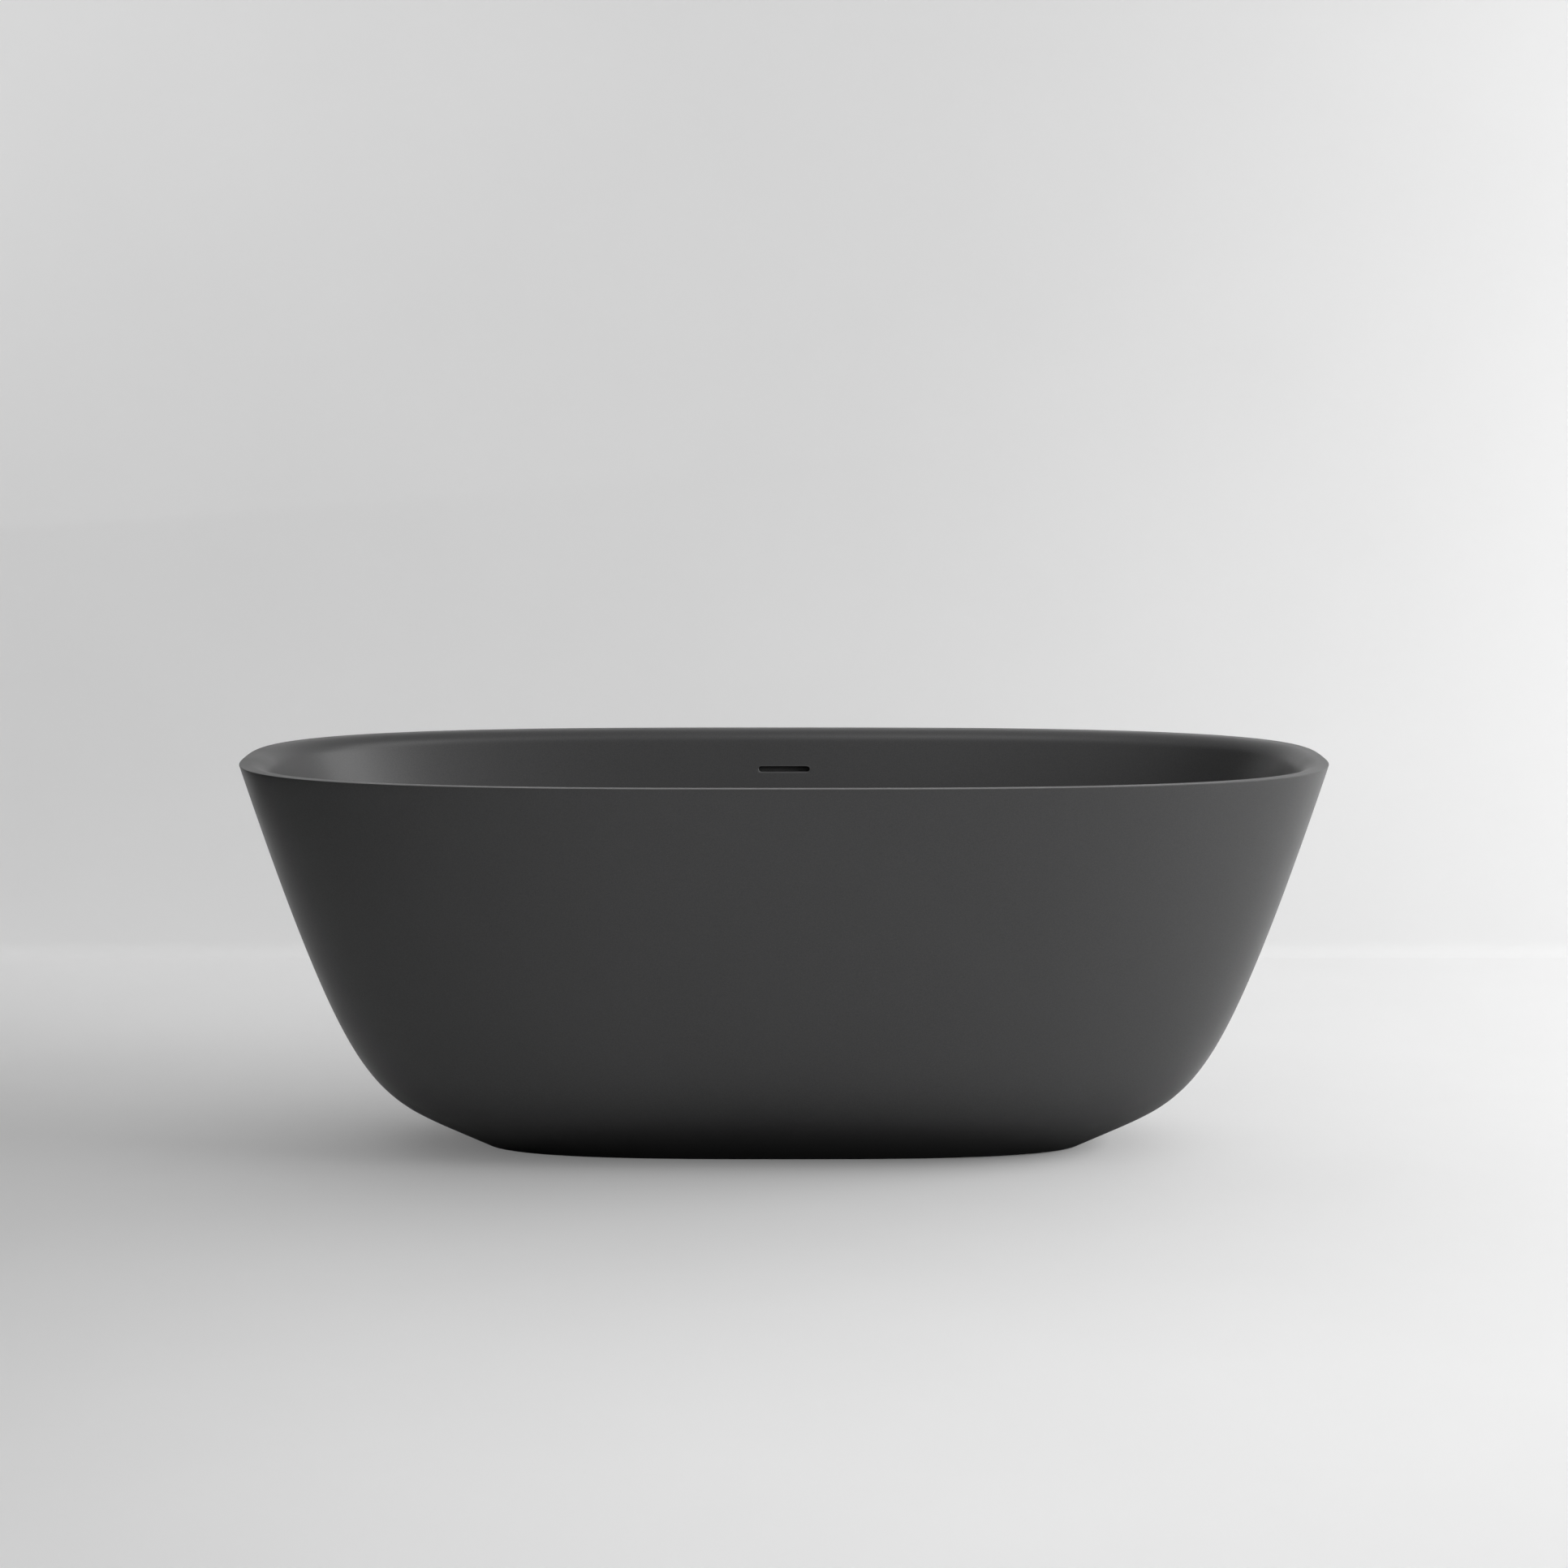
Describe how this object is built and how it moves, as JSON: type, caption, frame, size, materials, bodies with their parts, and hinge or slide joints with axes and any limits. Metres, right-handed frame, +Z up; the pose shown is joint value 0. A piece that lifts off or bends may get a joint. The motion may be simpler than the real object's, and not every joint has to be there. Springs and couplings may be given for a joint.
{
  "type": "freestanding bathtub",
  "caption": "Oval double-ended freestanding bathtub with a slot overflow, a push-operated floor waste with trap, and screw-adjusted levelling feet under a hidden base board.",
  "frame": {"origin": "centre of the footprint at floor level", "axes": "+X along the length, +Y towards the side with the overflow slot, +Z up"},
  "size_m": [1.6004, 0.7502, 0.58],
  "materials": {
    "anthracite_solid_surface": "matte, fine-grained mineral casting",
    "duct_plastic": "matte moulded",
    "hose_plastic": "matte corrugated",
    "waste_plastic": "satin moulded polypropylene",
    "seal_rubber": "matte",
    "strainer_metal": "fine brushed",
    "brass": "turned",
    "zinc_steel": "zinc plated",
    "pad_plastic": "matte",
    "birch_ply": "sanded plywood"
  },
  "bodies": {
    "tub": {"basin": "anthracite_solid_surface", "outer_shell": "anthracite_solid_surface", "overflow_duct": "duct_plastic", "overflow_hose": "hose_plastic", "waste_body": "waste_plastic", "trap_inlet_nut": "waste_plastic", "trap_bend": "waste_plastic", "trap_outlet_nut": "waste_plastic", "outlet_elbow": "waste_plastic", "drain_gasket_upper": "seal_rubber", "drain_gasket_lower": "seal_rubber", "trap_inlet_seal": "seal_rubber", "trap_outlet_seal": "seal_rubber", "drain_flange": "strainer_metal", "click_cartridge": "brass", "hose_clip_upper": "zinc_steel", "hose_clip_lower": "zinc_steel", "bearer_screws": "zinc_steel", "foot_inserts": "zinc_steel", "foot_lock_nuts": "zinc_steel", "stopper_spring": "zinc_steel", "base_board": "birch_ply", "floor_bearers": "birch_ply"},
    "stopper": {"stopper_cap": "anthracite_solid_surface", "stopper_seal": "seal_rubber", "stopper_stem": "brass"},
    "foot_front_left": {"foot_pad_front_left": "pad_plastic"},
    "screw_front_left": {"foot_stem_front_left": "zinc_steel"},
    "foot_front_right": {"foot_pad_front_right": "pad_plastic"},
    "screw_front_right": {"foot_stem_front_right": "zinc_steel"},
    "foot_back_left": {"foot_pad_back_left": "pad_plastic"},
    "screw_back_left": {"foot_stem_back_left": "zinc_steel"},
    "foot_back_right": {"foot_pad_back_right": "pad_plastic"},
    "screw_back_right": {"foot_stem_back_right": "zinc_steel"}
  },
  "joints": [
    {"name": "stopper_lift", "type": "slide", "parent": "tub", "child": "stopper", "axis": [0, 0, 1], "range_m": [0, 0.008], "deforming": ["stopper_spring"]},
    {"name": "foot_travel_front_left", "type": "slide", "parent": "tub", "child": "foot_front_left", "axis": [0, 0, -1], "range_m": [0, 0.015]},
    {"name": "foot_turn_front_left", "type": "hinge", "parent": "foot_front_left", "child": "screw_front_left", "pos_m": [-0.31, -0.066, 0.02], "axis": [0, 0, -1], "range_deg": [0, 3086]},
    {"name": "foot_travel_front_right", "type": "slide", "parent": "tub", "child": "foot_front_right", "axis": [0, 0, -1], "range_m": [0, 0.015]},
    {"name": "foot_turn_front_right", "type": "hinge", "parent": "foot_front_right", "child": "screw_front_right", "pos_m": [0.31, -0.066, 0.02], "axis": [0, 0, -1], "range_deg": [0, 3086]},
    {"name": "foot_travel_back_left", "type": "slide", "parent": "tub", "child": "foot_back_left", "axis": [0, 0, -1], "range_m": [0, 0.015]},
    {"name": "foot_turn_back_left", "type": "hinge", "parent": "foot_back_left", "child": "screw_back_left", "pos_m": [-0.31, 0.066, 0.02], "axis": [0, 0, -1], "range_deg": [0, 3086]},
    {"name": "foot_travel_back_right", "type": "slide", "parent": "tub", "child": "foot_back_right", "axis": [0, 0, -1], "range_m": [0, 0.015]},
    {"name": "foot_turn_back_right", "type": "hinge", "parent": "foot_back_right", "child": "screw_back_right", "pos_m": [0.31, 0.066, 0.02], "axis": [0, 0, -1], "range_deg": [0, 3086]}
  ],
  "couplings": [
    {"joint": "foot_turn_front_left", "follows": "foot_travel_front_left", "rad_per_m": 3590.4},
    {"joint": "foot_turn_front_right", "follows": "foot_travel_front_right", "rad_per_m": 3590.4},
    {"joint": "foot_turn_back_left", "follows": "foot_travel_back_left", "rad_per_m": 3590.4},
    {"joint": "foot_turn_back_right", "follows": "foot_travel_back_right", "rad_per_m": 3590.4}
  ]
}
